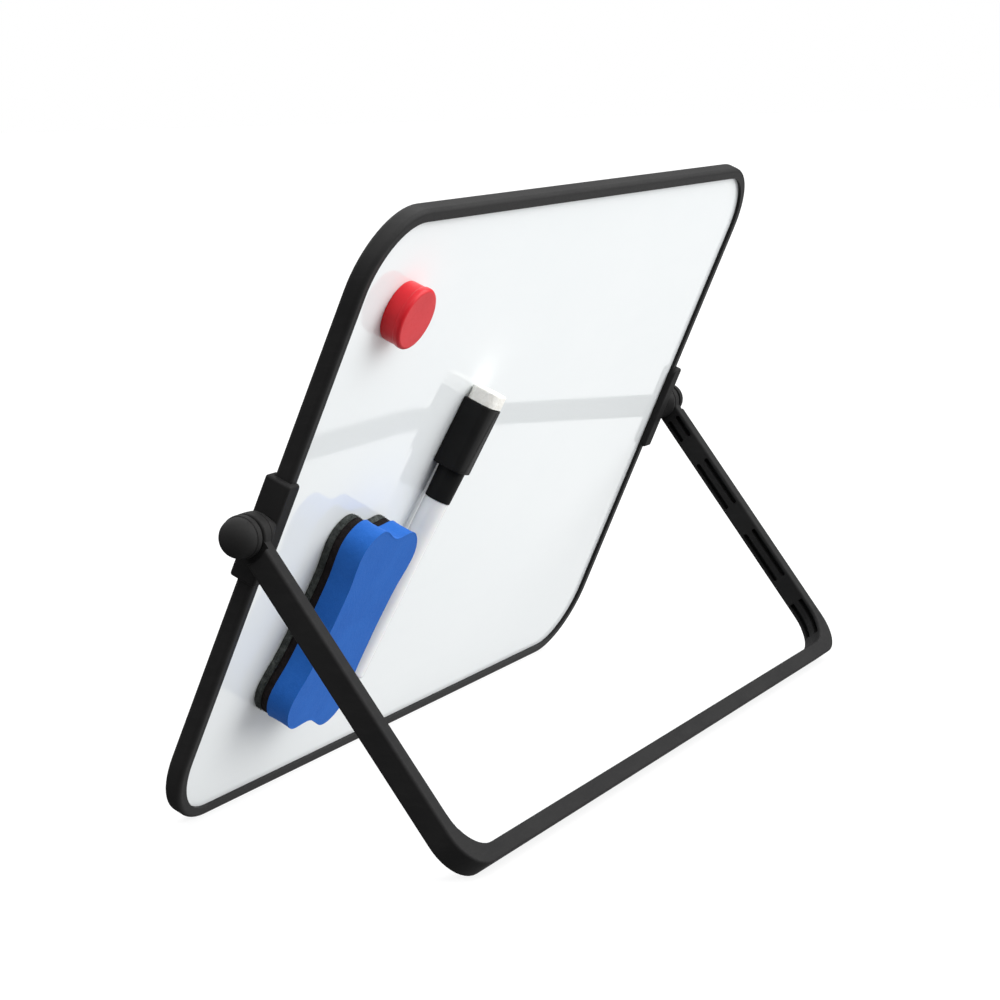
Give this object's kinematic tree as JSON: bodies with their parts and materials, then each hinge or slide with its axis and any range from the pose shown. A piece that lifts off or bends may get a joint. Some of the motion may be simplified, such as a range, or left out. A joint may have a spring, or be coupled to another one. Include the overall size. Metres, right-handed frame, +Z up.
{
  "type": "magnetic desk whiteboard easel",
  "caption": "Two-sided magnetic desk whiteboard in a black rim on a turning U-shaped stand, with button magnet, magnetic-cap marker and foam eraser on its back.",
  "frame": {"origin": "middle of the whole object's footprint, on the desk surface", "axes": "+X along the hinge axis, +Y from the bare writing side to the stand's foot bar, +Z up"},
  "size_m": [0.3356, 0.1192, 0.1925],
  "materials": {
    "white_lacquered_steel": "smooth white gloss lacquer on thin steel sheet",
    "fibreboard": "plain hardboard",
    "black_plastic": "moulded black ABS with a fine satin texture",
    "brass_insert": "machined",
    "zinc_steel": "zinc plated",
    "spring_steel": "bright",
    "washer_rubber": "matt",
    "red_plastic": "moulded, satin gloss",
    "ferrite": "sintered ferrite magnet",
    "black_gloss_plastic": "moulded, satin gloss",
    "white_plastic": "moulded, gloss",
    "cream_felt": "pressed wool felt",
    "fibre_wick": "fibre reservoir",
    "nib_felt": "pressed fibre nib",
    "blue_foam": "die-cut EVA foam with closed skin",
    "black_felt": "pressed felt with a fibrous edge"
  },
  "bodies": {
    "board": {"front_sheet": "white_lacquered_steel", "back_sheet": "white_lacquered_steel", "board_core": "fibreboard", "rim_upper": "black_plastic", "rim_lower": "black_plastic", "hinge_bracket_left": "black_plastic", "hinge_bracket_right": "black_plastic", "threaded_inserts": "brass_insert", "pivot_screws": "zinc_steel", "friction_washers": "washer_rubber"},
    "stand": {"stand_frame": "black_plastic", "wave_washers": "spring_steel", "hinge_cap_left": "black_plastic", "hinge_cap_right": "black_plastic"},
    "magnet": {"magnet_shell": "red_plastic", "magnet_disc": "ferrite"},
    "marker_cap": {"marker_cap": "black_gloss_plastic", "cap_magnet": "ferrite", "cap_felt": "cream_felt"},
    "marker_pen": {"marker_barrel": "white_plastic", "marker_end_plug": "white_plastic", "ink_reservoir": "fibre_wick", "nib_holder": "white_plastic", "marker_nib": "nib_felt"},
    "eraser": {"eraser_foam": "blue_foam", "eraser_felt": "black_felt", "eraser_magnets": "ferrite"}
  },
  "joints": [
    {"name": "stand_hinge", "type": "hinge", "parent": "board", "child": "stand", "pos_m": [0, -0.01292, 0.09809], "axis": [1, 0, 0], "continuous": true},
    {"name": "magnet_lift", "type": "slide", "parent": "board", "child": "magnet", "axis": [0, 0.9096, -0.4155], "range_m": [0, 0.025]},
    {"name": "marker_lift", "type": "slide", "parent": "board", "child": "marker_cap", "axis": [0, 0.9096, -0.4155], "range_m": [0, 0.025]},
    {"name": "pen_pull", "type": "slide", "parent": "marker_cap", "child": "marker_pen", "axis": [0.2326, -0.4041, -0.8847], "range_m": [0, 0.032]},
    {"name": "eraser_lift", "type": "slide", "parent": "board", "child": "eraser", "axis": [0, 0.9096, -0.4155], "range_m": [0, 0.025]}
  ]
}
